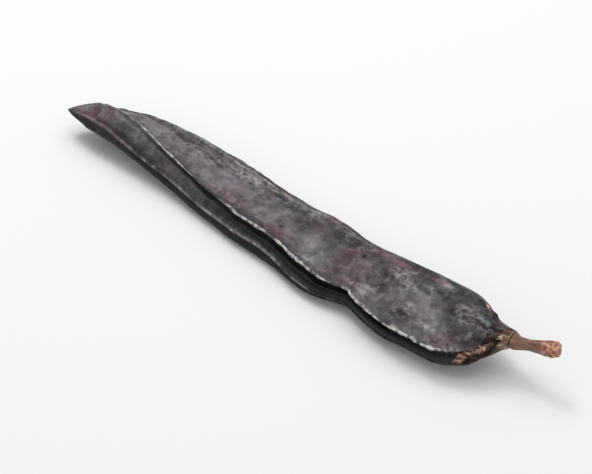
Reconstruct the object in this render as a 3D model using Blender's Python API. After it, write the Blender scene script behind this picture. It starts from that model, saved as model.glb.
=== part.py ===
"""A dried carob pod, picked with its stalk, lying on its broad side.

The pod is one leathery body: a flat blade that is thick at both edges, where the two halves
of its shell meet in a keel. A rib runs along each side of each keel, and between the ribs the
broad faces have sunk in round the seeds as the pod dried. The end by the neck is fuller, and
its upper face rolls over to its back keel. The blade is twisted: its front keel turns up
towards the beaked tip, and its upper face leans forward at the other end.
The stalk is a short woody stem. It sits in a socket in the pod's neck, is drawn in at its
waist, and ends in the knob where it came off the twig.

Metres. +X runs from the tip to the stalk, +Y to the back, +Z up, and the pod lies on z = 0.
"""

import math

import bpy
import numpy as np
from mathutils import Vector, noise

MM = 0.001

# Driving dimensions
BODY_LENGTH = 170.0 * MM
HALF_WIDTH = 12.5 * MM
HALF_THICKNESS = 4.9 * MM
STALK_LENGTH = 14.0 * MM
STALK_RADIUS = 2.3 * MM
SOCKET_DEPTH = 2.0 * MM
SOCKET_RADIUS = 1.9 * MM
PLUG_RADIUS = 1.55 * MM
FIT_GAP = 0.3 * MM

# The tip's place, which puts the origin under the middle of the whole part
TIP_X = -92.5 * MM
TIP_Y = -0.6 * MM

# Profiles along the pod, as (share of the length from the tip, value) pairs
FRONT_REACH = (  # centre line to front keel, in half widths: two lobes with a waist between
    (0.0, 0.02), (0.01, 0.11), (0.03, 0.23), (0.06, 0.36), (0.10, 0.50), (0.18, 0.72),
    (0.28, 0.87), (0.42, 0.97), (0.54, 0.95), (0.60, 1.08), (0.645, 1.10), (0.675, 0.99),
    (0.705, 0.85), (0.74, 0.93), (0.79, 1.02), (0.86, 1.00), (0.91, 0.96), (0.945, 0.81),
    (0.97, 0.54), (0.985, 0.34), (1.0, 0.23),
)
BACK_REACH = (  # centre line to back keel, in half widths
    (0.0, 0.02), (0.01, 0.17), (0.03, 0.38), (0.06, 0.51), (0.10, 0.59), (0.18, 0.73),
    (0.28, 0.81), (0.42, 0.96), (0.52, 0.98), (0.60, 1.08), (0.66, 0.90), (0.72, 0.93),
    (0.79, 0.98), (0.86, 0.98), (0.91, 0.92), (0.945, 0.68), (0.97, 0.41), (0.985, 0.30),
    (1.0, 0.23),
)
THICKNESS = (  # in half thicknesses
    (0.0, 0.04), (0.01, 0.28), (0.03, 0.62), (0.06, 0.94), (0.10, 1.10), (0.20, 1.06),
    (0.35, 1.00), (0.50, 0.96), (0.60, 0.94), (0.66, 0.85), (0.72, 0.87), (0.80, 0.91),
    (0.88, 0.91), (0.93, 0.92), (0.96, 0.82), (0.985, 0.64), (1.0, 0.58),
)
SQUARENESS = (  # 0 for a round section, 1 for the blade's own
    (0.0, 0.0), (0.03, 0.6), (0.08, 1.0), (0.14, 1.0), (0.90, 1.0), (0.95, 0.6), (1.0, 0.0),
)
LOBE = (  # 0 for the sunken blade's section, 1 for the fat lobe's
    (0.0, 0.0), (0.46, 0.0), (0.60, 0.35), (0.72, 1.0), (1.0, 1.0),
)
TWIST = (  # degrees that the upper face leans towards the front
    (0.0, -50.0), (0.04, -48.0), (0.09, -43.0), (0.16, -28.0), (0.24, -12.0), (0.34, -3.0),
    (0.56, 0.0), (0.66, 5.0), (0.76, 14.0), (0.86, 19.0), (1.0, 20.0),
)
CENTRE_Y = (  # millimetres to the back
    (0.0, 0.0), (0.05, 3.0), (0.10, 4.9), (0.16, 6.2), (0.25, 6.7), (0.34, 5.5), (0.5, 2.2),
    (0.60, 0.8), (0.66, 0.3), (0.72, -1.0), (0.79, -2.5), (0.86, -2.5), (0.92, -2.5),
    (0.96, -1.6), (1.0, 1.0),
)
CENTRE_Z = (  # millimetres up
    (0.0, 8.4), (0.10, 7.8), (0.16, 7.4), (0.25, 6.2), (0.34, 4.9), (0.50, 4.4), (0.60, 4.5),
    (0.70, 6.4), (0.80, 8.1), (0.92, 9.1), (1.0, 11.4),
)

# Two cross-sections in half widths and half thicknesses, from the front keel over the upper
# face to the back keel and round under it: the sunken blade's, whose faces lie between raised
# ribs, and the fat lobe's by the neck, whose upper face rolls over to its back keel
BLADE_SECTION = (
    (-1.000, -0.12), (-0.955, 0.20), (-0.865, 0.54), (-0.740, 0.76), (-0.700, 0.97),
    (-0.610, 0.92), (-0.460, 0.77), (-0.180, 0.80), (0.120, 0.86), (0.400, 0.80),
    (0.570, 0.84), (0.700, 0.94), (0.790, 0.88), (0.890, 0.74), (0.965, 0.42), (1.000, 0.00),
    (0.965, -0.36), (0.880, -0.70), (0.780, -0.95), (0.620, -0.88), (0.340, -0.80),
    (0.040, -0.85), (-0.300, -0.80), (-0.620, -0.87), (-0.880, -0.97), (-0.985, -0.80),
    (-1.010, -0.45),
)
LOBE_SECTION = (
    (-1.000, -0.10), (-0.985, 0.20), (-0.955, 0.50), (-0.905, 0.74), (-0.870, 0.93),
    (-0.800, 0.92), (-0.620, 0.86), (-0.280, 0.93), (0.080, 1.00), (0.400, 0.97),
    (0.640, 0.90), (0.790, 0.80), (0.880, 0.64), (0.945, 0.44), (0.985, 0.20), (1.000, -0.04),
    (0.980, -0.34), (0.920, -0.62), (0.820, -0.84), (0.660, -0.91), (0.380, -0.93),
    (0.040, -0.96), (-0.320, -0.92), (-0.640, -0.88), (-0.860, -0.85), (-0.955, -0.66),
    (-1.000, -0.38),
)
RIB_AT = 0.70

# Relief of the skin. Each size is a swell's length along, across and through the blade.
SEED_SPACING = 11.5 * MM
SEED_RISE = 0.35 * MM
SEED_DRIFT = 1.6
DRIFT_SIZE = (30.0 * MM, 30.0 * MM, 30.0 * MM)
FULLNESS_SIZE = (16.0 * MM, 40.0 * MM, 6.0 * MM)
DENT_DEPTH = 0.75 * MM
DENT_SIZE = (20.0 * MM, 9.0 * MM, 9.0 * MM)
DENT_ON_MARGINS = 0.35
RIB_WAVE = 0.5 * MM
RIB_WAVE_SIZE = (7.0 * MM, 20.0 * MM, 8.0 * MM)
RIB_SPREAD = 0.12
NECK_FOLDS = 9
FOLD_DEPTH = 0.4 * MM
FOLD_START, FOLD_END = 0.925, 1.0
SCAR_AT = 0.952
SCAR_SPREAD = 0.005
SCAR_RISE = 0.3 * MM

# The stalk's centre line and girth, as (share of its length from the neck, value) pairs
STALK_BACK = ((0.0, 0.0), (0.1, 0.0), (0.5, 0.6), (1.0, 1.6))  # millimetres
STALK_RISE = ((0.0, 0.0), (0.1, 0.1), (0.3, 1.1), (0.55, 2.2), (1.0, 3.6))  # millimetres
STALK_GIRTH = (  # in stalk radii
    (0.0, 1.03), (0.08, 1.02), (0.18, 0.86), (0.30, 0.76), (0.42, 0.75), (0.55, 0.83),
    (0.68, 0.94), (0.80, 1.00), (0.92, 1.00), (1.0, 0.88),
)
STALK_RIDGES = 3
STALK_RIDGE_DEPTH = 0.07
BROKEN_RIM = 0.6
BROKEN_RISE = 0.35 * MM
BROKEN_PITH = 0.15 * MM

# Mesh
STATIONS = 84
CROWDING = 0.55
STEPS_PER_CORNER = 2
STALK_STATIONS = 24
STALK_SIDES = 20

SKIN_BROWN = (0.055, 0.045, 0.047)
STALK_BROWN = (0.18, 0.09, 0.07)


def along(profile, share):
    """A smooth curve through a profile's pairs, read at each share of the length."""
    place, value = np.array(profile).T
    slope = np.gradient(value, place)
    span = np.clip(np.searchsorted(place, share, side="right") - 1, 0, len(place) - 2)
    width = place[span + 1] - place[span]
    t = (share - place[span]) / width
    start = (2 * t**3 - 3 * t**2 + 1) * value[span] + (t**3 - 2 * t**2 + t) * width * slope[span]
    end = (3 * t**2 - 2 * t**3) * value[span + 1] + (t**3 - t**2) * width * slope[span + 1]
    return start + end


def closed_curve(corners, steps):
    """A smooth closed curve through the corners, with the given steps from each to the next."""
    corners = np.array(corners)
    before = np.roll(corners, 1, axis=0)
    after = np.roll(corners, -1, axis=0)
    beyond = np.roll(corners, -2, axis=0)
    a, b, c, d = (row[:, None, :] for row in (before, corners, after, beyond))
    t = (np.arange(steps) / steps)[None, :, None]
    bend = 2 * a - 5 * b + 4 * c - d
    turn = 3 * b - 3 * c + d - a
    curve = b + 0.5 * t * (c - a + t * (bend + t * turn))
    return curve.reshape(-1, 2)


def outward(grid):
    """The outward direction at each point of a grid whose rows run round the pod."""
    lengthwise = np.gradient(grid, axis=0)
    crosswise = np.roll(grid, -1, axis=1) - np.roll(grid, 1, axis=1)
    normal = np.cross(lengthwise, crosswise)
    size = np.linalg.norm(normal, axis=2, keepdims=True)
    return normal / np.maximum(size, 1e-12)


def swells(points, size, seed):
    """Smooth noise from about -1 to 1 at each point."""
    rows = points.reshape(-1, 3) / np.array(size) + seed
    values = np.array([noise.noise(Vector(row)) for row in rows])
    return values.reshape(points.shape[:2])


def ring_mesh(name, rings, colour, roughness):
    """One closed body from rings of points, where a ring of one point closes an end."""
    starts = np.cumsum([0] + [len(ring) for ring in rings])
    faces = []
    for start, end, ring, following in zip(starts, starts[1:], rings, rings[1:]):
        for side in range(max(len(ring), len(following))):
            corners = (
                start + side % len(ring),
                end + side % len(following),
                end + (side + 1) % len(following),
                start + (side + 1) % len(ring),
            )
            faces.append(list(dict.fromkeys(corners)))
    mesh = bpy.data.meshes.new(name)
    mesh.from_pydata(np.concatenate(rings).tolist(), [], faces)
    mesh.shade_smooth()
    material = bpy.data.materials.new(name + "_finish")
    material.use_nodes = True
    shader = material.node_tree.nodes["Principled BSDF"]
    shader.inputs["Base Color"].default_value = (*colour, 1.0)
    shader.inputs["Roughness"].default_value = roughness
    mesh.materials.append(material)
    piece = bpy.data.objects.new(name, mesh)
    bpy.context.scene.collection.objects.link(piece)
    return piece


def placed(blade, shares):
    """The blade's points, twisted about its centre line and set on that line's curve."""
    twist = np.radians(along(TWIST, shares))[:, None]
    y = blade[:, :, 1] * np.cos(twist) - blade[:, :, 2] * np.sin(twist)
    z = blade[:, :, 1] * np.sin(twist) + blade[:, :, 2] * np.cos(twist)
    return np.stack([
        blade[:, :, 0] + TIP_X,
        y + along(CENTRE_Y, shares)[:, None] * MM + TIP_Y,
        z + along(CENTRE_Z, shares)[:, None] * MM,
    ], axis=2)


def relief(blade, shares, v, n):
    """How far the skin stands out from the plain blade, in metres."""
    face = np.clip((RIB_AT - np.abs(v)) / 0.3, 0, 1)
    drift = SEED_DRIFT * swells(blade, DRIFT_SIZE, 8.4)
    full = np.clip(0.5 + 0.9 * swells(blade, FULLNESS_SIZE, 5.1), 0, 1)
    seeds = SEED_RISE * np.cos(2 * math.pi * blade[:, :, 0] / SEED_SPACING + drift) * full * face
    dented = DENT_ON_MARGINS + (1 - DENT_ON_MARGINS) * face
    dents = DENT_DEPTH * swells(blade, DENT_SIZE, 3.7) * dented
    on_rib = np.exp(-((np.abs(v) - RIB_AT) / RIB_SPREAD) ** 2)
    ribs = RIB_WAVE * swells(blade, RIB_WAVE_SIZE, 11.2) * on_rib
    neck = np.clip((shares - FOLD_START) / 0.03, 0, 1) * np.clip((FOLD_END - shares) / 0.02, 0, 1)
    folds = FOLD_DEPTH * neck[:, None] * np.cos(NECK_FOLDS * np.arctan2(n, -v) + 0.7)
    scar = SCAR_RISE * np.exp(-((shares - SCAR_AT) / SCAR_SPREAD) ** 2)[:, None]
    squareness = np.clip(along(SQUARENESS, shares), 0, 1)[:, None]
    return (seeds + dents + ribs) * squareness + folds + scar


def skin_grid(shares, steps):
    """The pod's skin: one row of points round it for each share of its length."""
    v, n = closed_curve(BLADE_SECTION, steps).T
    lobe_v, lobe_n = closed_curve(LOBE_SECTION, steps).T
    lobe = np.clip(along(LOBE, shares), 0, 1)[:, None]
    squareness = np.clip(along(SQUARENESS, shares), 0, 1)[:, None]
    around = np.arctan2(n, -v)
    across = (v * (1 - lobe) + lobe_v * lobe) * squareness - np.cos(around) * (1 - squareness)
    up = (n * (1 - lobe) + lobe_n * lobe) * squareness + np.sin(around) * (1 - squareness)
    front = along(FRONT_REACH, shares)[:, None]
    back = along(BACK_REACH, shares)[:, None]
    blade = np.stack([
        np.broadcast_to(shares[:, None] * BODY_LENGTH, across.shape),
        HALF_WIDTH * across * np.where(across < 0, front, back),
        HALF_THICKNESS * up * along(THICKNESS, shares)[:, None],
    ], axis=2)
    blade = blade + outward(blade) * relief(blade, shares, v, n)[:, :, None]
    skin = placed(blade, shares)
    skin[:, :, 2] = np.maximum(skin[:, :, 2], 0.0)
    return skin


def neck_centre():
    """The middle of the neck's end, where the stalk comes out."""
    return placed(np.array([[[BODY_LENGTH, 0.0, 0.0]]]), np.array([1.0]))[0, 0]


def make_pod():
    """The pod's body, pressed flat where it lies on the surface, with the stalk's socket."""
    even = np.linspace(0.0, 1.0, STATIONS)
    shares = even - CROWDING * np.sin(2 * math.pi * even) / (2 * math.pi)
    skin = skin_grid(shares[1:], STEPS_PER_CORNER)
    tip = placed(np.zeros((1, 1, 3)), np.array([0.0]))[0]
    centre = neck_centre()
    spokes = skin[-1] - centre
    spokes = spokes / np.linalg.norm(spokes, axis=1, keepdims=True)
    mouth = centre + spokes * SOCKET_RADIUS
    inward = np.array([-SOCKET_DEPTH, 0.0, 0.0])
    rings = [tip, *skin, mouth, mouth + inward, (centre + inward)[None, :]]
    return ring_mesh("pod", rings, SKIN_BROWN, 0.5)


def make_stalk():
    """The stalk: a plug in the pod's socket, a collar, a waist and the broken-off knob."""
    shares = np.linspace(0.0, 1.0, STALK_STATIONS)
    start = neck_centre() + np.array([FIT_GAP, 0.0, 0.0])
    line = start + np.stack([
        shares * STALK_LENGTH,
        along(STALK_BACK, shares) * MM,
        along(STALK_RISE, shares) * MM,
    ], axis=1)
    forward = np.gradient(line, axis=0)
    forward /= np.linalg.norm(forward, axis=1, keepdims=True)
    side = np.cross(forward, np.array([0.0, 0.0, 1.0]))
    side /= np.linalg.norm(side, axis=1, keepdims=True)
    top = np.cross(side, forward)
    angle = np.arange(STALK_SIDES) * 2 * math.pi / STALK_SIDES
    spokes = (
        np.cos(angle)[None, :, None] * side[:, None, :]
        + np.sin(angle)[None, :, None] * top[:, None, :]
    )
    ridges = np.cos(STALK_RIDGES * angle[None, :] + 5 * shares[:, None])
    radius = STALK_RADIUS * along(STALK_GIRTH, shares)[:, None] * (1 + STALK_RIDGE_DEPTH * ridges)
    stem = line[:, None, :] + radius[:, :, None] * spokes
    inward = np.array([-SOCKET_DEPTH, 0.0, 0.0])
    plug = start + spokes[0] * PLUG_RADIUS
    crown = line[-1] + (stem[-1] - line[-1]) * BROKEN_RIM + forward[-1] * BROKEN_RISE
    pith = (line[-1] + forward[-1] * BROKEN_PITH)[None, :]
    rings = [(start + inward)[None, :], plug + inward, plug, *stem, crown, pith]
    return ring_mesh("stalk", rings, STALK_BROWN, 0.7)


for leftover in list(bpy.data.objects):
    bpy.data.objects.remove(leftover)
make_pod()
make_stalk()
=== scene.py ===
"""A dried carob pod as it looks: its skin, the torn flakes, the stalk and its splinters, and
the floor, light and view.

Metres. +X runs from the tip to the stalk, +Y to the back and +Z up from the floor.
"""

import math
from functools import partial

import bpy
import numpy as np
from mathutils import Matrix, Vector, noise


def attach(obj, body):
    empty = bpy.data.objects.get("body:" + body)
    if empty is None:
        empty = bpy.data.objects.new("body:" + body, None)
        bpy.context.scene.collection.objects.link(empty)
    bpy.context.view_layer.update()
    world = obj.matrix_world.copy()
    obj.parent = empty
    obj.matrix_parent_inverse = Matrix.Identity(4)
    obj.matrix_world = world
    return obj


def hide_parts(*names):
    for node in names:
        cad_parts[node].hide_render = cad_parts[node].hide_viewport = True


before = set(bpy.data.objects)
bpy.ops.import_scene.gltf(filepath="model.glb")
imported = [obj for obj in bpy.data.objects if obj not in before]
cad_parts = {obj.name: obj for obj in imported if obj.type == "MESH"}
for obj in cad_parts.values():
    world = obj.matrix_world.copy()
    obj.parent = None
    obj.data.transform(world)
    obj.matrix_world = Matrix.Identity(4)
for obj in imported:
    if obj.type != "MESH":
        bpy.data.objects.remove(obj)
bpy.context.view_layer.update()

# The pod's form
# One leathery blade with a keel along each edge and a rib beside each keel, twisted and
# shrunken as it dried. Its profiles and its cross-section are the solid's own.

MM = 0.001
BODY_LENGTH = 170.0 * MM
HALF_WIDTH = 12.5 * MM
HALF_THICKNESS = 4.9 * MM
SOCKET_DEPTH = 2.0 * MM
SOCKET_RADIUS = 1.9 * MM
TIP_X = -92.5 * MM
TIP_Y = -0.6 * MM

FRONT_REACH = (  # centre line to front keel, in half widths: two lobes with a waist between
    (0.0, 0.02), (0.01, 0.11), (0.03, 0.23), (0.06, 0.36), (0.10, 0.50), (0.18, 0.72),
    (0.28, 0.87), (0.42, 0.97), (0.54, 0.95), (0.60, 1.08), (0.645, 1.10), (0.675, 0.99),
    (0.705, 0.85), (0.74, 0.93), (0.79, 1.02), (0.86, 1.00), (0.91, 0.96), (0.945, 0.81),
    (0.97, 0.54), (0.985, 0.34), (1.0, 0.23),
)
BACK_REACH = (  # centre line to back keel, in half widths
    (0.0, 0.02), (0.01, 0.17), (0.03, 0.38), (0.06, 0.51), (0.10, 0.59), (0.18, 0.73),
    (0.28, 0.81), (0.42, 0.96), (0.52, 0.98), (0.60, 1.08), (0.66, 0.90), (0.72, 0.93),
    (0.79, 0.98), (0.86, 0.98), (0.91, 0.92), (0.945, 0.68), (0.97, 0.41), (0.985, 0.30),
    (1.0, 0.23),
)
THICKNESS = (  # in half thicknesses
    (0.0, 0.04), (0.01, 0.28), (0.03, 0.62), (0.06, 0.94), (0.10, 1.10), (0.20, 1.06),
    (0.35, 1.00), (0.50, 0.96), (0.60, 0.94), (0.66, 0.85), (0.72, 0.87), (0.80, 0.91),
    (0.88, 0.91), (0.93, 0.92), (0.96, 0.82), (0.985, 0.64), (1.0, 0.58),
)
SQUARENESS = (  # 0 for a round section, 1 for the blade's own
    (0.0, 0.0), (0.03, 0.6), (0.08, 1.0), (0.14, 1.0), (0.90, 1.0), (0.95, 0.6), (1.0, 0.0),
)
LOBE = (  # 0 for the sunken blade's section, 1 for the fat lobe's
    (0.0, 0.0), (0.46, 0.0), (0.60, 0.35), (0.72, 1.0), (1.0, 1.0),
)
TWIST = (  # degrees that the upper face leans towards the front
    (0.0, -50.0), (0.04, -48.0), (0.09, -43.0), (0.16, -28.0), (0.24, -12.0), (0.34, -3.0),
    (0.56, 0.0), (0.66, 5.0), (0.76, 14.0), (0.86, 19.0), (1.0, 20.0),
)
CENTRE_Y = (  # millimetres to the back
    (0.0, 0.0), (0.05, 3.0), (0.10, 4.9), (0.16, 6.2), (0.25, 6.7), (0.34, 5.5), (0.5, 2.2),
    (0.60, 0.8), (0.66, 0.3), (0.72, -1.0), (0.79, -2.5), (0.86, -2.5), (0.92, -2.5),
    (0.96, -1.6), (1.0, 1.0),
)
CENTRE_Z = (  # millimetres up
    (0.0, 8.4), (0.10, 7.8), (0.16, 7.4), (0.25, 6.2), (0.34, 4.9), (0.50, 4.4), (0.60, 4.5),
    (0.70, 6.4), (0.80, 8.1), (0.92, 9.1), (1.0, 11.4),
)
# Both sections run from the front keel over the upper face to the back keel and round under
BLADE_SECTION = (
    (-1.000, -0.12), (-0.955, 0.20), (-0.865, 0.54), (-0.740, 0.76), (-0.700, 0.97),
    (-0.610, 0.92), (-0.460, 0.77), (-0.180, 0.80), (0.120, 0.86), (0.400, 0.80),
    (0.570, 0.84), (0.700, 0.94), (0.790, 0.88), (0.890, 0.74), (0.965, 0.42), (1.000, 0.00),
    (0.965, -0.36), (0.880, -0.70), (0.780, -0.95), (0.620, -0.88), (0.340, -0.80),
    (0.040, -0.85), (-0.300, -0.80), (-0.620, -0.87), (-0.880, -0.97), (-0.985, -0.80),
    (-1.010, -0.45),
)
LOBE_SECTION = (
    (-1.000, -0.10), (-0.985, 0.20), (-0.955, 0.50), (-0.905, 0.74), (-0.870, 0.93),
    (-0.800, 0.92), (-0.620, 0.86), (-0.280, 0.93), (0.080, 1.00), (0.400, 0.97),
    (0.640, 0.90), (0.790, 0.80), (0.880, 0.64), (0.945, 0.44), (0.985, 0.20), (1.000, -0.04),
    (0.980, -0.34), (0.920, -0.62), (0.820, -0.84), (0.660, -0.91), (0.380, -0.93),
    (0.040, -0.96), (-0.320, -0.92), (-0.640, -0.88), (-0.860, -0.85), (-0.955, -0.66),
    (-1.000, -0.38),
)
RIB_AT = 0.70

SEED_SPACING = 11.5 * MM
SEED_RISE = 0.35 * MM
SEED_DRIFT = 1.6
DRIFT_SIZE = (30.0 * MM, 30.0 * MM, 30.0 * MM)
FULLNESS_SIZE = (16.0 * MM, 40.0 * MM, 6.0 * MM)
DENT_DEPTH = 0.75 * MM
DENT_SIZE = (20.0 * MM, 9.0 * MM, 9.0 * MM)
DENT_ON_MARGINS = 0.35
RIB_WAVE = 0.5 * MM
RIB_WAVE_SIZE = (7.0 * MM, 20.0 * MM, 8.0 * MM)
RIB_SPREAD = 0.12
NECK_FOLDS = 9
FOLD_DEPTH = 0.4 * MM
FOLD_START, FOLD_END = 0.925, 1.0
SCAR_AT = 0.952
SCAR_SPREAD = 0.005
SCAR_RISE = 0.3 * MM


def along(profile, share):
    """A smooth curve through a profile's pairs, read at each share of the length."""
    place, value = np.array(profile).T
    slope = np.gradient(value, place)
    span = np.clip(np.searchsorted(place, share, side="right") - 1, 0, len(place) - 2)
    width = place[span + 1] - place[span]
    t = (share - place[span]) / width
    start = (2 * t**3 - 3 * t**2 + 1) * value[span] + (t**3 - 2 * t**2 + t) * width * slope[span]
    end = (3 * t**2 - 2 * t**3) * value[span + 1] + (t**3 - t**2) * width * slope[span + 1]
    return start + end


def closed_curve(corners, steps):
    """A smooth closed curve through the corners, with the given steps from each to the next."""
    corners = np.array(corners)
    before = np.roll(corners, 1, axis=0)
    after = np.roll(corners, -1, axis=0)
    beyond = np.roll(corners, -2, axis=0)
    a, b, c, d = (row[:, None, :] for row in (before, corners, after, beyond))
    t = (np.arange(steps) / steps)[None, :, None]
    bend = 2 * a - 5 * b + 4 * c - d
    turn = 3 * b - 3 * c + d - a
    curve = b + 0.5 * t * (c - a + t * (bend + t * turn))
    return curve.reshape(-1, 2)


def outward(grid):
    """The outward direction at each point of a grid whose rows run round the pod."""
    lengthwise = np.gradient(grid, axis=0)
    crosswise = np.roll(grid, -1, axis=1) - np.roll(grid, 1, axis=1)
    normal = np.cross(lengthwise, crosswise)
    size = np.linalg.norm(normal, axis=2, keepdims=True)
    return normal / np.maximum(size, 1e-12)


def swells(points, size, seed):
    """Smooth noise from about -1 to 1 at each point."""
    rows = (points.reshape(-1, 3) / np.array(size) + seed).tolist()
    values = np.array([noise.noise(row) for row in rows])
    return values.reshape(points.shape[:2])


def placed(blade, shares):
    """The blade's points, twisted about its centre line and set on that line's curve."""
    twist = np.radians(along(TWIST, shares))[:, None]
    y = blade[:, :, 1] * np.cos(twist) - blade[:, :, 2] * np.sin(twist)
    z = blade[:, :, 1] * np.sin(twist) + blade[:, :, 2] * np.cos(twist)
    return np.stack([
        blade[:, :, 0] + TIP_X,
        y + along(CENTRE_Y, shares)[:, None] * MM + TIP_Y,
        z + along(CENTRE_Z, shares)[:, None] * MM,
    ], axis=2)


def relief(blade, shares, v, n):
    """How far the skin stands out from the plain blade, in metres, as on the solid."""
    face = np.clip((RIB_AT - np.abs(v)) / 0.3, 0, 1)
    drift = SEED_DRIFT * swells(blade, DRIFT_SIZE, 8.4)
    full = np.clip(0.5 + 0.9 * swells(blade, FULLNESS_SIZE, 5.1), 0, 1)
    seeds = SEED_RISE * np.cos(2 * math.pi * blade[:, :, 0] / SEED_SPACING + drift) * full * face
    dented = DENT_ON_MARGINS + (1 - DENT_ON_MARGINS) * face
    dents = DENT_DEPTH * swells(blade, DENT_SIZE, 3.7) * dented
    on_rib = np.exp(-((np.abs(v) - RIB_AT) / RIB_SPREAD) ** 2)
    ribs = RIB_WAVE * swells(blade, RIB_WAVE_SIZE, 11.2) * on_rib
    neck = np.clip((shares - FOLD_START) / 0.03, 0, 1) * np.clip((FOLD_END - shares) / 0.02, 0, 1)
    folds = FOLD_DEPTH * neck[:, None] * np.cos(NECK_FOLDS * np.arctan2(n, -v) + 0.7)
    scar = SCAR_RISE * np.exp(-((shares - SCAR_AT) / SCAR_SPREAD) ** 2)[:, None]
    squareness = np.clip(along(SQUARENESS, shares), 0, 1)[:, None]
    return (seeds + dents + ribs) * squareness + folds + scar


def plain_blade(shares, steps):
    """The pod before it is twisted: one row of points round it for each share of its length."""
    v, n = closed_curve(BLADE_SECTION, steps).T
    lobe_v, lobe_n = closed_curve(LOBE_SECTION, steps).T
    lobe = np.clip(along(LOBE, shares), 0, 1)[:, None]
    squareness = np.clip(along(SQUARENESS, shares), 0, 1)[:, None]
    around = np.arctan2(n, -v)
    across = (v * (1 - lobe) + lobe_v * lobe) * squareness - np.cos(around) * (1 - squareness)
    up = (n * (1 - lobe) + lobe_n * lobe) * squareness + np.sin(around) * (1 - squareness)
    front = along(FRONT_REACH, shares)[:, None]
    back = along(BACK_REACH, shares)[:, None]
    blade = np.stack([
        np.broadcast_to(shares[:, None] * BODY_LENGTH, across.shape),
        HALF_WIDTH * across * np.where(across < 0, front, back),
        HALF_THICKNESS * up * along(THICKNESS, shares)[:, None],
    ], axis=2)
    return blade + outward(blade) * relief(blade, shares, v, n)[:, :, None]


def neck_centre():
    """The middle of the neck's end, where the stalk comes out."""
    return placed(np.array([[[BODY_LENGTH, 0.0, 0.0]]]), np.array([1.0]))[0, 0]


# The pod's skin
# Dried carob skin is thin, hard and leathery. It puckered as the pulp shrank: the ribs stand
# as crisp wavy lips over a groove, the keels carry the seam of the shell's two halves, and
# the faces are dented, pitted and finely wrinkled, with a grey bloom where they aren't rubbed.

STATIONS = 432
CROWDING = 0.35
STEPS_PER_CORNER = 8

# Where lines and faces lie, as corners of the section; spreads and offsets are in corners too
FRONT_KEEL, FRONT_RIB, BACK_RIB, BACK_KEEL, LOW_BACK_RIB, LOW_FRONT_RIB = 0, 4, 11, 15, 18, 24
UPPER_FACE, BACK_MARGIN, UNDER_FACE, UNDER_MARGIN = 7.6, 12.6, 21.2, 25.6
PUCKERED = (FRONT_RIB + 0.9, BACK_RIB - 0.4, LOW_BACK_RIB + 0.5, LOW_FRONT_RIB - 0.9)

LIP_RISE = 0.55 * MM
LIP_SPREAD = 0.32
LIP_SLOPE_ABOVE, LIP_SLOPE_BELOW = 0.5, 0.28
GROOVE_DEPTH = 0.42 * MM
GROOVE_SPREAD = 0.75
GROOVE_OFFSET = 0.9
SEAM_RISE = 0.26 * MM
SEAM_SPREAD = 0.2
SEAM_GROOVE_DEPTH = 0.16 * MM
SEAM_GROOVE_OFFSET = 0.52
PUCKER_DEPTH = 0.18 * MM
HAMMER_DEPTH = 0.38 * MM
LEATHER_RISE = 0.17 * MM
FOLD_RISE = 0.3 * MM
CREASE_DEPTH = 0.3 * MM
HATCH_RISE = 0.2 * MM
HATCH_AT, HATCH_LENGTH = 0.918, 0.02
PIT_DEPTH = 0.6 * MM
PIT_RADIUS = 0.9 * MM
CRUST_RISE = 0.45 * MM
MARGIN_SMOOTHNESS = 0.7
COLLAR_START = 0.9975
RING_DEPTH = 0.4 * MM
RING_WIDTH = 0.0024
TOP_RING_AT = 0.968
NECK_RIDGE_RISE = 0.25 * MM
NECK_RIDGE_AT, NECK_RIDGE_START = 13.9, 0.96
RAGGEDNESS = 0.45
CREST_SHARPNESS = 3.2

# The size of each swell along, across and through the blade
WARP_SIZE = (4 * MM, 3 * MM, 3 * MM)
FINE_WARP_SIZE = (1.4 * MM, 1.1 * MM, 1.1 * MM)
NOTCH_SIZE = (1.3 * MM, 30 * MM, 30 * MM)
PUCKER_SIZE = (1.5 * MM, 7 * MM, 7 * MM)
HAMMER_SIZE = (6.5 * MM, 4.5 * MM, 4.5 * MM)
LEATHER_SIZE = (2.6 * MM, 1.8 * MM, 1.8 * MM)
FINE_LEATHER_SIZE = (1.2 * MM, 0.9 * MM, 0.9 * MM)
FOLD_SIZE = (9 * MM, 2 * MM, 2 * MM)
FAINT_FOLD_SIZE = (11 * MM, 3.4 * MM, 3.4 * MM)
HATCH_SIZE = (0.9 * MM, 9 * MM, 9 * MM)
CREASE_SIZE = (4.5 * MM, 1.9 * MM, 1.9 * MM)
CRUMB_SIZE = (1.1 * MM, 1.2 * MM, 1.2 * MM)
FAR = 60 * MM

# Waves along the pod, each as (length in millimetres, height, seed)
WANDER = ((8, 0.36, 21.0), (3, 0.16, 4.0))
JITTER = ((1.2, 0.15, 5.0),)
TOOTH_WAVES = ((7, 0.8, 9.1),)
LIP_WAVES = ((2.6, 0.9, 26.0), (9, 0.5, 28.0))
SEAM_WAVES = ((6, 0.8, 32.0), (2, 0.6, 34.0))

# How each line and band changes along the pod, as (share of the length, value) pairs
LIP_HEIGHT = (
    (0.0, 0.2), (0.12, 0.45), (0.24, 0.7), (0.34, 1.0), (0.93, 1.0), (0.97, 0.2), (1.0, 0.0),
)
GROOVE_HEIGHT = (
    (0.0, 0.0), (0.1, 0.05), (0.2, 0.25), (0.26, 0.6), (0.34, 1.0), (0.92, 1.0), (0.95, 0.2),
    (1.0, 0.0),
)
# Strength of the painted highlight along the front lip
FRONT_LIP_LIGHT = (
    (0.0, 0.1), (0.05, 0.5), (0.12, 0.75), (0.2, 0.7), (0.235, 0.5), (0.25, 0.95),
    (0.305, 0.95), (0.33, 0.25), (0.385, 0.3), (0.41, 1.0), (0.5, 1.0), (0.525, 0.5),
    (0.55, 1.15), (0.65, 1.15), (0.665, 1.15), (0.685, 1.5), (0.70, 1.3), (0.712, 0.7),
    (0.728, 0.6), (0.745, 0.6), (0.77, 1.2), (0.89, 1.2), (0.915, 0.5), (0.95, 0.1), (1.0, 0.0),
)
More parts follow.
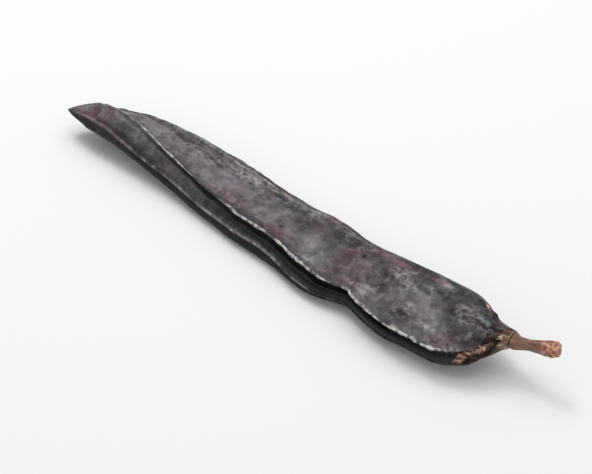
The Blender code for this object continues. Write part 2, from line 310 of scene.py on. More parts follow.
BACK_RIB_HEIGHT = (
    (0.0, 0.0), (0.1, 0.1), (0.2, 0.7), (0.5, 1.0), (0.62, 0.25), (0.75, 0.1), (1.0, 0.0),
)
# The grey on the front band beside the keel is partly bloom and partly a painted sheen
BAND_BLOOM_AND_SHEEN = (
    (0.0, 1.0), (0.2, 0.9), (0.33, 0.95), (0.42, 0.6), (0.58, 0.35), (0.66, 0.15), (1.0, 0.1),
)
BAND_AT = ((0.0, 2.0), (0.2, 1.6), (0.35, 1.3), (0.5, 1.5), (0.66, 0.8), (1.0, 0.3))
BAND_SPREAD = ((0.0, 2.6), (0.2, 1.9), (0.33, 1.2), (0.45, 0.7), (0.58, 0.55), (1.0, 0.5))
NOTCH_DEPTH = ((0.0, -0.3), (0.5, -0.1), (0.62, 0.9), (1.0, 0.9))
LIP_WIDTH = ((0.0, 2.2), (0.2, 1.7), (0.26, 1.1), (0.52, 1.1), (0.62, 1.6), (1.0, 1.6))
# Strength of the painted shadow under the front lip
UNDER_LIP = (
    (0.0, 0.0), (0.28, 0.0), (0.36, 0.35), (0.46, 1.0), (0.93, 1.0), (0.96, 0.0), (1.0, 0.0),
)
SEAM_AT = (
    (0.0, -0.2), (0.1, -0.7), (0.18, -0.9), (0.26, 0.0), (0.36, 0.5), (0.5, 0.9), (0.58, 0.5),
    (0.66, 0.0), (1.0, 0.0),
)
# Strength of the painted highlight along the seams
SEAM_LIGHT = ((0.0, 0.1), (0.2, 0.25), (0.4, 0.36), (0.55, 0.36), (0.7, 0.14), (1.0, 0.05))
SEAM_BLUSH = ((0.0, 0.2), (0.03, 0.7), (0.11, 1.0), (0.16, 0.5), (0.2, 0.0), (1.0, 0.0))
FACE_SPREAD = ((0.0, 6.5), (0.1, 5.5), (0.2, 3.9), (0.3, 3.6), (1.0, 3.6))
BACK_MARGIN_BLOOM = ((0.0, 1.0), (0.5, 0.85), (0.64, 0.5), (0.8, 0.3), (1.0, 0.0))
# Strength of the painted shade under the front keel
UNDER_KEEL = ((0.0, 0.3), (0.1, 0.5), (0.2, 0.9), (0.9, 0.9), (0.95, 0.1), (1.0, 0.0))

# The neck's bare tissue starts, and its ring of scar runs, at a share of the length that
# changes round the section, as (corner, share) pairs
NECK_STARTS = (
    (0.0, 0.948), (2.0, 0.942), (4.0, 0.950), (6.0, 0.962), (8.0, 0.970), (9.5, 0.985),
    (11.0, 1.01), (15.5, 1.01), (17.0, 0.985), (19.0, 0.962), (23.0, 0.956), (25.5, 0.950),
    (27.0, 0.948),
)
NECK_RING = (
    (0.0, 0.978), (2.0, 0.984), (6.5, 0.985), (8.0, 0.992), (20.0, 0.985), (23.0, 0.968),
    (25.0, 0.966), (27.0, 0.978),
)
NECK_RING_DEPTH = ((0.0, 1.0), (6.5, 1.0), (7.5, 0.0), (20.0, 0.0), (22.0, 1.0), (27.0, 1.0))

# Marks on the skin, each as (share of the length, corner of the section, millimetres to its
# edge along the pod, corners to its edge round it)
WINE_PATCHES = (
    (0.085, 2.0, 5.0, 0.9), (0.40, 6.2, 6.0, 0.8), (0.666, 7.7, 6.0, 1.3),
    (0.690, 5.8, 4.0, 0.8), (0.903, 6.0, 4.0, 0.8), (0.52, 6.0, 4.0, 0.7),
    (0.30, 20.5, 8.0, 1.5), (0.62, 21.5, 9.0, 1.3), (0.85, 19.5, 7.0, 1.0),
    (0.975, 12.8, 2.5, 1.6),
)
BLUSH_PATCHES = (
    (0.048, 0.2, 5.0, 0.5), (0.566, 11.8, 6.0, 0.6), (0.600, 11.2, 4.0, 0.3),
    (0.713, 10.5, 4.0, 0.6), (0.748, 10.3, 5.0, 0.5), (0.838, 10.5, 3.0, 0.4),
    (0.48, 12.2, 4.0, 0.4),
)
PALE_PATCHES = (
    (0.18, 7.2, 12.0, 1.5), (0.300, 6.8, 7.0, 1.1), (0.500, 7.2, 9.0, 1.4),
    (0.585, 7.2, 4.0, 0.8), (0.855, 7.4, 6.0, 1.1), (0.888, 6.7, 3.0, 0.7),
    (0.05, 2.5, 8.0, 1.9), (0.25, 21.5, 9.0, 1.5), (0.50, 20.8, 9.0, 1.4),
    (0.75, 21.5, 8.0, 1.5), (0.26, 7.8, 30.0, 3.0),
)
RUBBED_PATCHES = (
    (0.329, 8.8, 5.0, 0.9), (0.545, 8.4, 4.0, 0.9), (0.500, 9.8, 7.0, 0.7),
    (0.630, 9.6, 6.0, 0.9), (0.664, 7.3, 5.0, 1.1), (0.735, 8.8, 4.0, 0.8),
    (0.819, 6.4, 2.5, 0.5), (0.900, 8.6, 5.0, 1.3), (0.860, 9.4, 5.0, 0.8),
    (0.952, 8.3, 5.0, 2.6), (0.23, 9.3, 5.0, 0.6), (0.40, 22.5, 7.0, 0.9),
    (0.68, 20.2, 8.0, 1.1),
)
FOLDED_PATCHES = (
    (0.304, 8.7, 5.0, 0.9), (0.370, 9.4, 6.0, 0.7), (0.432, 9.8, 7.0, 0.7),
    (0.485, 10.1, 7.0, 0.7), (0.560, 10.4, 6.0, 0.7), (0.650, 10.4, 6.0, 0.8),
    (0.794, 9.1, 7.0, 1.0), (0.844, 10.6, 4.0, 0.8), (0.822, 7.0, 1.8, 0.5),
    (0.866, 6.8, 2.5, 0.5), (0.925, 8.8, 4.0, 1.0), (0.600, 5.6, 4.0, 0.7),
    (0.720, 6.3, 5.0, 0.7), (0.45, 20.5, 9.0, 1.1), (0.80, 21.8, 8.0, 1.1),
)
SHEEN_PATCHES = (
    (0.936, 9.2, 0.9, 0.28), (0.947, 9.0, 1.3, 0.5), (0.957, 8.7, 1.0, 0.35),
    (0.966, 8.0, 0.8, 0.25),
)
CRUST_PATCHES = (
    (0.926, 13.6, 1.2, 0.3), (0.936, 13.0, 1.7, 0.35), (0.944, 1.2, 1.3, 0.7),
    (0.951, 2.4, 1.6, 0.8), (0.962, 3.2, 1.8, 0.8), (0.970, 2.5, 1.2, 0.7),
    (0.972, 4.6, 1.0, 0.6), (0.988, 7.0, 0.9, 0.8), (0.955, 21.0, 1.5, 1.2),
)
PITS = (  # share of the length, corner of the section
    (0.098, 7.7), (0.252, 8.3), (0.268, 8.6), (0.285, 8.0), (0.293, 8.5), (0.402, 8.9),
    (0.515, 7.0), (0.683, 8.8), (0.817, 6.6), (0.352, 21.0), (0.708, 20.4),
)


def away_from(at, corner):
    """How many corners lie between a line and each point, the shorter way round."""
    half = len(BLADE_SECTION) / 2
    return np.abs((corner - at + half) % (2 * half) - half)


def ridge(corner, at, spread):
    """1 along one line of the section, falling to 0 beside it."""
    return np.exp(-(away_from(at, corner) / spread) ** 2)


def patches(places, shares, corner, warp):
    """1 inside each patch of the list, falling to 0 past its ragged edge."""
    cover = np.zeros((len(shares), len(corner)))
    for share, at, length, width in places:
        lengthwise = (shares - share)[:, None] * BODY_LENGTH / (length * MM)
        crosswise = (away_from(at, corner) / width)[None, :]
        reach = np.sqrt(lengthwise**2 + crosswise**2) + RAGGEDNESS * warp
        cover = np.maximum(cover, np.clip(1.5 - reach, 0, 1))
    return cover * cover * (3 - 2 * cover)


def pitted(blade, shares, corner):
    """1 in the middle of each pit, falling to 0 at its rim."""
    depth = np.zeros(blade.shape[:2])
    for share, at in PITS:
        row = np.argmin(np.abs(shares - share))
        column = np.argmin(np.abs(corner - at))
        away = np.linalg.norm(blade - blade[row, column], axis=2) / PIT_RADIUS
        depth = np.maximum(depth, np.clip(1 - away, 0, 1))
    return depth * depth * (3 - 2 * depth)


def crests(points, size, seed):
    """Narrow lines, 1 on each crest and 0 between, that wander along the given swell size."""
    return np.clip(1 - CREST_SHARPNESS * np.abs(swells(points, size, seed)), 0, 1)


def waves(blade, parts):
    """Noise that changes along the pod alone, as the sum of some waves."""
    return sum(
        height * swells(blade, (length * MM, FAR, FAR), seed) for length, height, seed in parts
    )


def sheared(blade, axis, amount):
    """The blade's points, slid lengthwise so that noise read at them runs askew."""
    points = blade.copy()
    points[:, :, 0] += amount * blade[:, :, axis]
    return points


def at_stations(profile, shares, least=0.0):
    """A profile's value at each station, as a column."""
    return np.clip(along(profile, shares), least, None)[:, None]


def round_section(profile, corner):
    """A profile's value at each step round the section."""
    return np.interp(corner, *np.array(profile).T)


def lip_lines(blade, shares, line, smooth_line):
    """The relief of the ribs' lips and grooves in metres, then their painted highlight and their
    painted shade.
    """
    lip_height = at_stations(LIP_HEIGHT, shares)
    groove_height = at_stations(GROOVE_HEIGHT, shares)
    back_height = at_stations(BACK_RIB_HEIGHT, shares)
    notches = swells(sheared(blade, 1, 1.0), NOTCH_SIZE, 6.6)
    teeth = np.clip(0.75 + 0.4 * notches + waves(blade, TOOTH_WAVES), 0.4, 1.3)
    above = smooth_line > FRONT_RIB
    slope = np.where(above, LIP_SLOPE_ABOVE, LIP_SLOPE_BELOW)
    front = ridge(smooth_line, FRONT_RIB, slope) * teeth
    back = ridge(line, BACK_RIB, 1.6 * LIP_SPREAD) * teeth * back_height
    low = sum(ridge(smooth_line, rib, LIP_SPREAD) for rib in (LOW_FRONT_RIB, LOW_BACK_RIB))
    low = low * teeth * lip_height
    front_groove = ridge(smooth_line, FRONT_RIB - GROOVE_OFFSET, GROOVE_SPREAD) * groove_height
    other_grooves = sum(
        height * ridge(smooth_line, at, GROOVE_SPREAD) for height, at in (
            (0.5 * groove_height, LOW_FRONT_RIB + GROOVE_OFFSET),
            (0.7 * back_height, BACK_RIB + GROOVE_OFFSET),
            (0.5 * groove_height, LOW_BACK_RIB - GROOVE_OFFSET),
        )
    )
    rise = LIP_RISE * (front * lip_height + 0.5 * back + 0.5 * low)
    rise = rise - GROOVE_DEPTH * (front_groove + other_grooves)

    spread = np.clip(0.95 + waves(blade, LIP_WAVES), 0.45, 1.5) * np.where(above, 1.0, 0.55)
    spread = spread * at_stations(LIP_WIDTH, shares) * LIP_SPREAD
    ragged = ridge(np.where(above, line, smooth_line), FRONT_RIB, spread)
    notch_depth = at_stations(NOTCH_DEPTH, shares, least=-1.0)
    ragged = ragged * np.clip(teeth + notch_depth * notches, 0.05, 1.5)
    # Painted highlight: a pale line along the lips, broken by the teeth and notches
    lit = 1.3 * ragged * at_stations(FRONT_LIP_LIGHT, shares) + 0.4 * back + 0.2 * low
    # Painted shade in the groove and painted shadow under the front lip; painted shade in the other
    # grooves
    shade = ridge(smooth_line, FRONT_RIB - 0.85, 0.55) * groove_height
    under = ridge(smooth_line, FRONT_RIB - 1.2, 1.1) * at_stations(UNDER_LIP, shares)
    return rise, lit, shade + under + 0.3 * other_grooves


def seam_lines(blade, shares, seam_line):
    """The relief of the keels' seams in metres, then their painted highlight and their blush."""
    keel = FRONT_KEEL + at_stations(SEAM_AT, shares, least=-2.0)
    front = ridge(seam_line, keel, SEAM_SPREAD)
    back = ridge(seam_line, BACK_KEEL, SEAM_SPREAD)
    grooves = sum(
        ridge(seam_line, at + side * SEAM_GROOVE_OFFSET, SEAM_SPREAD)
        for at in (keel, BACK_KEEL) for side in (-1, 1)
    )
    # Painted highlight along the seams, with a wider soft band beside the front keel
    lit = front + 0.5 * ridge(seam_line, keel, 2.2 * SEAM_SPREAD) + 0.4 * back
    lit = lit * np.clip(0.8 + waves(blade, SEAM_WAVES), 0.2, 1.2)
    blush = 1.3 * ridge(seam_line, keel, 1.2 * SEAM_SPREAD) * at_stations(SEAM_BLUSH, shares)
    rise = SEAM_RISE * (front + back) - SEAM_GROOVE_DEPTH * grooves
    return rise, lit * at_stations(SEAM_LIGHT, shares), blush


def face_relief(blade, shares, corner, warp, on_face):
    """The faces' relief in metres, then their puckers, folds and pits."""
    roughened = 1 - MARGIN_SMOOTHNESS * (1 - on_face)
    beside_ribs = np.clip(sum(ridge(corner, at, 1.2) for at in PUCKERED), 0, 1)
    puckers = swells(blade, PUCKER_SIZE, 2.2) * beside_ribs
    hammered = swells(blade, HAMMER_SIZE, 13.0)
    leather = swells(blade, LEATHER_SIZE, 17.0) + 0.6 * swells(blade, FINE_LEATHER_SIZE, 19.0)
    bent = blade + (0.8 * MM * warp)[:, :, None]
    folds = crests(bent, FOLD_SIZE, 51.0) * patches(FOLDED_PATCHES, shares, corner, warp)
    faint_folds = crests(bent, FAINT_FOLD_SIZE, 53.0) * on_face
    pits = pitted(blade, shares, corner)
    rise = (
        PUCKER_DEPTH * puckers
        + (HAMMER_DEPTH * hammered + LEATHER_RISE * leather) * roughened
        + FOLD_RISE * (folds + 0.3 * faint_folds)
        - PIT_DEPTH * pits
    )
    return rise, puckers, folds, pits


def neck_marks(blade, shares, corner, line, warp):
    """The neck's relief in metres, then its painted highlight and painted shade, and what is bare and
    olive on it.
    """
    down = shares[:, None]
    bare = np.clip((down - round_section(NECK_STARTS, corner) + 0.004 * warp) / 0.006, 0, 1)
    ring_at = round_section(NECK_RING, corner) + 0.002 * warp
    ring = np.exp(-((down - ring_at) / RING_WIDTH) ** 2) * round_section(NECK_RING_DEPTH, corner)
    top_ring = np.exp(-((down - TOP_RING_AT) / RING_WIDTH) ** 2)
    ring = ring + top_ring * ridge(corner, UPPER_FACE, 1.6)
    neck_ridge = ridge(line, NECK_RIDGE_AT, 0.3) * np.clip((down - NECK_RIDGE_START) / 0.01, 0, 1)
    creases = crests(sheared(blade, 2, 0.5), CREASE_SIZE, 57.0) * bare
    by_neck = np.exp(-((down - HATCH_AT) / HATCH_LENGTH) ** 2) * ridge(corner, FRONT_RIB + 0.5, 1.0)
    hatch = np.clip(2.2 * swells(sheared(blade, 1, 1.0), HATCH_SIZE, 61.0), 0, 1) * by_neck
    rise = (
        HATCH_RISE * hatch
        - CREASE_DEPTH * creases
        - RING_DEPTH * ring
        + NECK_RIDGE_RISE * neck_ridge
    )
    olive = bare * np.clip((down - ring_at) / 0.004, 0, 1)
    # Painted highlight on the hatch and the neck's ridge; painted shade in its rings and creases
    return rise, 0.8 * hatch + 0.4 * neck_ridge, ring + 0.9 * creases, bare, olive


def skin_detail(blade, shares, corner):
    """Fine relief in metres, and the marks that the finish reads, at each point of the skin."""
    wander = waves(blade, WANDER)
    smooth_line = corner + wander
    line = smooth_line + waves(blade, JITTER)
    warp = swells(blade, WARP_SIZE, 41.0) + 0.5 * swells(blade, FINE_WARP_SIZE, 43.0)
    margin_bloom = at_stations(BACK_MARGIN_BLOOM, shares)
    on_face = ridge(corner, UPPER_FACE, at_stations(FACE_SPREAD, shares))
    on_face = on_face + ridge(corner, UNDER_FACE, 3.0)
    on_face = on_face + 0.8 * ridge(corner, BACK_MARGIN, 1.4) * margin_bloom
    on_face = np.clip(on_face, 0, 1)

    lips, lip_light, lip_shade = lip_lines(blade, shares, line, smooth_line)
    seams, seam_light, seam_blush = seam_lines(blade, shares, corner + 0.4 * wander)
    face, puckers, folds, pits = face_relief(blade, shares, corner, warp, on_face)
    neck, neck_light, neck_shade, bare, olive = neck_marks(blade, shares, corner, line, warp)
    crust = patches(CRUST_PATCHES, shares, corner, warp)
    crumbs = np.clip(0.35 + swells(blade, CRUMB_SIZE, 31.0), 0, 1)

    squareness = np.clip(along(SQUARENESS, shares), 0, 1)[:, None]
    fade_in = np.clip(shares / 0.05, 0.0, 1)[:, None]
    fine = (lips + seams + face + neck) * (0.35 + 0.65 * squareness) * fade_in
    fine = fine + CRUST_RISE * crust * crumbs
    # Painted shade: in the grooves, under the lip, in the pits, in the neck's rings and creases, in
    # the pucker hollows and under the front keel
    dark = lip_shade + 1.3 * pits + neck_shade - 0.4 * np.clip(puckers, -1, 0)
    dark = dark + ridge(corner, UNDER_MARGIN, 1.6) * at_stations(UNDER_KEEL, shares)
    # Grey on the front band beside the keel: partly bloom, partly a painted sheen
    band = ridge(corner, at_stations(BAND_AT, shares), at_stations(BAND_SPREAD, shares))
    band = band * at_stations(BAND_BLOOM_AND_SHEEN, shares)
    blush = patches(BLUSH_PATCHES, shares, corner, warp) + seam_blush
    collar = (shares[:, None] - COLLAR_START + 0.002 * warp) / 0.002
    marks = {
        # Painted highlight along the lips, seams and neck ridge
        "painted_highlight": np.clip(lip_light + seam_light + neck_light, 0, 1),
        "painted_shade": np.clip(dark, 0, 1),
        # The bloom mark also carries the front band's painted sheen
        "bloom": np.clip(on_face + 0.8 * band, 0, 1) * (1 - bare),
        "pale": patches(PALE_PATCHES, shares, corner, warp),
        "rubbed": patches(RUBBED_PATCHES, shares, corner, warp),
        "wine": patches(WINE_PATCHES, shares, corner, warp),
        "blush": np.clip(blush, 0, 1),
        "sheen": patches(SHEEN_PATCHES, shares, corner, warp),
        "fold_scuff_and_glint": np.clip(1.4 * folds + 0.3 * np.clip(puckers, 0, 1) * on_face, 0, 1),
        "crust": np.clip(crust * (0.5 + crumbs), 0, 1),
        "neck": bare,
        "olive": olive,
        "collar": np.clip(collar, 0, 1),
    }
    return fine, marks


def new_object(name, data):
    """An object in the scene that holds the given data."""
    piece = bpy.data.objects.new(name, data)
    bpy.context.scene.collection.objects.link(piece)
    return piece


def finished_mesh(name, rings, marks):
    """One closed mesh from rings of points, with the marks kept as its attributes."""
    starts = np.cumsum([0] + [len(ring) for ring in rings])
    faces = []
    for start, end, ring, following in zip(starts, starts[1:], rings, rings[1:]):
        for side in range(max(len(ring), len(following))):
            corners = (
                start + side % len(ring),
                end + side % len(following),
                end + (side + 1) % len(following),
                start + (side + 1) % len(ring),
            )
            faces.append(list(dict.fromkeys(corners)))
    mesh = bpy.data.meshes.new(name)
    mesh.from_pydata(np.concatenate(rings).tolist(), [], faces)
    mesh.shade_smooth()
    for mark, values in marks.items():
        attribute = mesh.attributes.new(mark, "FLOAT", "POINT")
        attribute.data.foreach_set("value", values.astype(np.float32))
    return new_object(name, mesh)


def make_skin():
    """The skin's fine mesh, with the stalk's socket in its neck."""
    even = np.linspace(0.0, 1.0, STATIONS)
    shares = (even - CROWDING * np.sin(2 * math.pi * even) / (2 * math.pi))[1:]
    corner = np.arange(len(BLADE_SECTION) * STEPS_PER_CORNER) / STEPS_PER_CORNER
    blade = plain_blade(shares, STEPS_PER_CORNER)
    fine, marks = skin_detail(blade, shares, corner)
    blade = blade + outward(blade) * fine[:, :, None]
    skin = placed(blade, shares)
    skin[:, :, 2] = np.maximum(skin[:, :, 2], 0.0)
    tip = placed(np.zeros((1, 1, 3)), np.array([0.0]))[0]
    centre = neck_centre()
    spokes = skin[-1] - centre
    spokes = spokes / np.linalg.norm(spokes, axis=1, keepdims=True)
    mouth = centre + spokes * SOCKET_RADIUS
    inward = np.array([-SOCKET_DEPTH, 0.0, 0.0])
    rings = [tip, *skin, mouth, mouth + inward, (centre + inward)[None, :]]
    extra = 2 * len(corner) + 1
    for name, values in marks.items():
        start, end = values[0].mean(), values[-1].mean()
        marks[name] = np.concatenate([[start], values.ravel(), np.full(extra, end)])
    return finished_mesh("leathery_skin", rings, marks)


def linear(code):
    """An sRGB hex colour as the linear colour that shaders take."""
    channels = [int(code[i:i + 2], 16) / 255 for i in (1, 3, 5)]
    return (*(c / 12.92 if c <= 0.04045 else ((c + 0.055) / 1.055) ** 2.4 for c in channels), 1.0)


def add(tree, kind, inputs=(), **settings):
    """A node with its settings, and its inputs as values or as links from other sockets."""
    node = tree.nodes.new(kind)
    for name, value in settings.items():
        setattr(node, name, value)
    for socket, value in dict(inputs).items():
        if isinstance(value, bpy.types.NodeSocket):
            tree.links.new(value, node.inputs[socket])
        else:
            node.inputs[socket].default_value = value
    return node


def new_finish(name):
    """An empty material, and its node tree."""
    material = bpy.data.materials.new(name)
    material.use_nodes = True
    material.node_tree.nodes.clear()
    return material, material.node_tree


def mark_of(tree, name):
    """A mark that the mesh carries, from 0 to 1."""
    return add(tree, "ShaderNodeAttribute", attribute_name=name).outputs["Fac"]


def blend(tree, colour, layer, amount):
    """A colour laid over another by the given amount; each is a socket or an sRGB code."""
    under, over = (linear(c) if isinstance(c, str) else c for c in (colour, layer))
    return add(tree, "ShaderNodeMix", {0: amount, 6: under, 7: over}, data_type="RGBA").outputs[2]


def product(tree, a, b):
    """Two numbers multiplied, and kept from 0 to 1."""
    return add(tree, "ShaderNodeMath", {0: a, 1: b}, operation="MULTIPLY", use_clamp=True).outputs[0]


def carried(tree, value, low, high, start=0.0, end=1.0, shape="LINEAR"):
    """A value carried from low..high to start..end."""
    return add(tree, "ShaderNodeMapRange", {
        "Value": value, "From Min": low, "From Max": high, "To Min": start, "To Max": end,
    }, interpolation_type=shape).outputs["Result"]


def surfaced(tree, height, strength, depth, inputs):
    """Ends a finish: a shader with the given inputs, roughened by a height."""
    bump = add(tree, "ShaderNodeBump", {"Strength": strength, "Distance": depth, "Height": height})
    shader = add(tree, "ShaderNodeBsdfPrincipled", {
        "IOR": 1.45, "Normal": bump.outputs[0], **inputs,
    })
    add(tree, "ShaderNodeOutputMaterial", {"Surface": shader.outputs[0]})


def dried_leathery_skin():
    """Dried carob skin: near black and glossy where rubbed, with a dull grey bloom on its faces,
    painted highlights along its lips and seams and painted shade in its grooves, pits and creases.
    """
    material, tree = new_finish("dried_leathery_skin")
    place = add(tree, "ShaderNodeTexCoord").outputs["Object"]
    names = (
        "painted_highlight", "painted_shade", "bloom", "pale", "rubbed", "wine", "blush", "sheen", "fold_scuff_and_glint", "crust",
        "neck", "olive", "collar",
    )
    mark = {name: mark_of(tree, name) for name in names}
    over, times = partial(blend, tree), partial(product, tree)
    ramp = partial(carried, tree, shape="SMOOTHSTEP")

    def grain(size, detail=3.0, roughness=0.55, seed=0.0):
        """Noise whose swells are the given size in metres."""
        node = add(tree, "ShaderNodeTexNoise", {
            "Vector": place, "Scale": 1 / size, "Detail": detail, "Roughness": roughness, "W": seed,
        }, noise_dimensions="4D")
        return node.outputs["Fac"]

    def between(start, end, amount):
        """A number carried from start to end by the given amount."""
        return add(tree, "ShaderNodeMix", {0: amount, 2: start, 3: end}).outputs[0]

    body = over("#0d0b0c", "#1d1819", ramp(grain(7 * MM, seed=1.0), 0.38, 0.62))
    cloud = ramp(grain(11 * MM, detail=4.0, seed=2.0), 0.36, 0.64)
    tint = ramp(grain(15 * MM, detail=2.0, seed=14.0), 0.4, 0.6)
    dust = over(over("#484548", "#4b4145", tint), over("#6a696a", "#736871", tint), cloud)
    dust = over(dust, "#8b858b", times(mark["pale"], 0.5))
    broken = ramp(grain(3.4 * MM, detail=5.0, roughness=0.6, seed=3.0), 0.34, 0.56, 0.45, 1.0)
    colour = over(body, dust, times(mark["bloom"], broken))
    rubbed = times(mark["rubbed"], ramp(grain(3.5 * MM, detail=4.0, seed=4.0), 0.3, 0.55, 0.45, 1.0))
    colour = over(colour, "#1f1c22", times(rubbed, 0.75))
    wine_spots = ramp(grain(12 * MM, seed=5.0), 0.57, 0.66)
    colour = over(colour, "#3f2a30", times(times(wine_spots, mark["bloom"]), 0.4))
    wine = times(mark["wine"], ramp(grain(3.0 * MM, detail=4.0, seed=6.0), 0.34, 0.6, 0.35, 1.0))
    colour = over(colour, "#57343a", times(wine, 0.6))
    blush = times(mark["blush"], ramp(grain(1.8 * MM, detail=4.0, seed=15.0), 0.34, 0.58, 0.25, 1.0))
    colour = over(colour, "#92656b", times(blush, 0.55))
    fleck = times(ramp(grain(2.4 * MM, detail=6.0, roughness=0.65, seed=7.0), 0.5, 0.66), 0.42)
    colour = over(colour, "#948d92", times(fleck, mark["bloom"]))
    dark_fleck = ramp(grain(2.8 * MM, detail=6.0, roughness=0.65, seed=8.0), 0.52, 0.66)
    colour = over(colour, "#161314", times(dark_fleck, 0.45))
    # Painted shade: near black in the grooves, pits and creases and under the lip and keel
    colour = over(colour, "#0b0a0b", times(mark["painted_shade"], 0.9))
    # Fold crests get a pale colour, partly scuffed skin and partly painted highlight; the sheen
    # patches get a teal painted reflection
    glint_breakup = ramp(grain(1.5 * MM, detail=4.0, seed=16.0), 0.42, 0.56, 0.1, 1.0)
    colour = over(colour, "#aaa4a4", times(times(mark["fold_scuff_and_glint"], glint_breakup), 0.52))
    colour = over(colour, "#848f93", times(times(mark["sheen"], glint_breakup), 0.55))
    # Painted highlight: a pale colour laid along the ribs' lips, the seams, the neck's ridge and the
    # hatch by the neck
    highlight_breakup = ramp(grain(1.6 * MM, seed=9.0), 0.36, 0.56, 0.25, 1.0)
    colour = over(colour, "#cbc4c2", times(mark["painted_highlight"], highlight_breakup))
    bark = ramp(grain(1.8 * MM, detail=4.0, seed=10.0), 0.44, 0.6)
    neck_brown = over("#191210", "#5e4334", bark)
    neck_olive = over("#6b5643", "#b39a80", ramp(grain(1.7 * MM, seed=11.0), 0.38, 0.6))
    neck = over(neck_brown, neck_olive, mark["olive"])
    # Painted shade in the neck's rings and creases
    neck = over(neck, "#0d0a09", times(mark["painted_shade"], 0.85))
    colour = over(colour, neck, mark["neck"])
    fibres = ramp(grain(0.8 * MM, seed=17.0), 0.38, 0.55, 0.2, 0.8)
    colour = over(colour, "#a08272", times(mark["collar"], fibres))
    crust = over("#3f231a", "#deb39a", ramp(grain(1.1 * MM, seed=12.0), 0.42, 0.6))
    colour = over(colour, crust, mark["crust"])

    rough = between(0.28, 0.46, times(mark["bloom"], broken))
    rough = between(rough, 0.22, times(mark["fold_scuff_and_glint"], 0.8))
    rough = between(rough, 0.24, mark["painted_highlight"])
    rough = between(rough, 0.65, times(mark["painted_shade"], 0.8))
    rough = between(rough, 0.8, mark["crust"])
    rough = between(rough, 0.14, mark["sheen"])
    pores = add(tree, "ShaderNodeTexVoronoi", {
        "Vector": place, "Scale": 1 / (0.9 * MM),
    }, feature="SMOOTH_F1").outputs["Distance"]
    height = add(tree, "ShaderNodeMath", {
        0: pores, 1: 0.4, 2: grain(0.7 * MM, detail=4.0, seed=13.0),
    }, operation="MULTIPLY_ADD").outputs[0]
    surfaced(tree, height, strength=0.55, depth=0.13 * MM, inputs={
        "Base Color": colour, "Roughness": rough, "Specular IOR Level": 0.25,
    })
    return material


skin = make_skin()
skin.data.materials.append(dried_leathery_skin())
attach(skin, "root")
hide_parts("pod")

# The torn flakes
# Papery scraps of the flower's base still cling where the neck meets the fat end. They dried
# and curled on the skin, which carries them.

FLAKE_SEED = 7
FLAKES_PER_M2 = 600000
FLAKE_LENGTH = 1.6 * MM
FLAKE_WIDTH = 0.6 * MM
FLAKE_THICKNESS = 0.12 * MM
FLAKE_CURL = 0.25 * MM
FLAKE_TAPER = -2.4
FLAKE_LEAN = 0.25
CRUSTED = 0.45
SMALLEST_COPY = (0.5, 0.5, 0.6)
LARGEST_COPY = (1.2, 1.2, 1.2)


def bed_of(piece, mark, least):
    """A copy of the faces of a piece whose corners all carry more than the least of a mark."""
    mesh = piece.data
    co = np.empty(len(mesh.vertices) * 3, np.float32)
    mesh.vertices.foreach_get("co", co)
    marked = np.empty(len(mesh.vertices), np.float32)
    mesh.attributes[mark].data.foreach_get("value", marked)
    keep = marked > least
    faces = [
        list(face.vertices) for face in mesh.polygons
        if all(keep[index] for index in face.vertices)
    ]
    used = sorted({index for face in faces for index in face})
    place = {index: new for new, index in enumerate(used)}
    bed = bpy.data.meshes.new(piece.name + "_bed")
    kept_faces = [[place[index] for index in face] for face in faces]
    bed.from_pydata(co.reshape(-1, 3)[used].tolist(), [], kept_faces)
    return bed


def grow(name, bed, tree, values):
    """What the tree makes on the bed, as a plain mesh at the origin."""
    piece = new_object(name, bed)
    modifier = piece.modifiers.new(name, "NODES")
    modifier.node_group = tree
    for item in tree.interface.items_tree:
        if item.name in values:
            modifier[item.identifier] = values[item.name]
    graph = bpy.context.evaluated_depsgraph_get()
    mesh = bpy.data.meshes.new_from_object(piece.evaluated_get(graph), depsgraph=graph)
    mesh.name = name
    piece.modifiers.clear()
    piece.data = mesh
    return piece


def scatter_tree(name, seed, finish, numbers, make_shape, lean):
    """A tree that spreads copies of one small shape over a bed, each turned and sized at random."""
    tree = bpy.data.node_groups.new(name, "GeometryNodeTree")
    tree.interface.new_socket("Geometry", in_out="INPUT", socket_type="NodeSocketGeometry")
    for number in numbers:
        tree.interface.new_socket(number, in_out="INPUT", socket_type="NodeSocketFloat")
    tree.interface.new_socket("Geometry", in_out="OUTPUT", socket_type="NodeSocketGeometry")
    given = add(tree, "NodeGroupInput").outputs
    spread = add(tree, "GeometryNodeDistributePointsOnFaces", {
        "Mesh": given["Geometry"], "Density": given["Density"], "Seed": seed,
    })
    shape = make_shape(tree, given)
    turn = add(tree, "FunctionNodeRandomValue", {
        0: (-lean, -lean, 0.0), 1: (lean, lean, 2 * math.pi), "Seed": seed + 1,
    }, data_type="FLOAT_VECTOR").outputs[0]
    turned = add(tree, "FunctionNodeRotateRotation", {
        "Rotation": spread.outputs["Rotation"],
        "Rotate By": add(tree, "FunctionNodeEulerToRotation", {"Euler": turn}).outputs[0],
    }, rotation_space="LOCAL").outputs[0]
    size = add(tree, "FunctionNodeRandomValue", {
        0: SMALLEST_COPY, 1: LARGEST_COPY, "Seed": seed + 2,
    }, data_type="FLOAT_VECTOR").outputs[0]
    copies = add(tree, "GeometryNodeInstanceOnPoints", {
        "Points": spread.outputs["Points"], "Instance": shape, "Rotation": turned, "Scale": size,
    }).outputs[0]
    real = add(tree, "GeometryNodeRealizeInstances", {"Geometry": copies}).outputs[0]
    painted = add(tree, "GeometryNodeSetMaterial", {"Geometry": real, "Material": finish}).outputs[0]
    add(tree, "NodeGroupOutput", {"Geometry": painted})
    return tree


def math_of(tree, operation, a, b):
    """One sum on two numbers, each a socket or a value."""
    return add(tree, "ShaderNodeMath", {0: a, 1: b}, operation=operation).outputs[0]


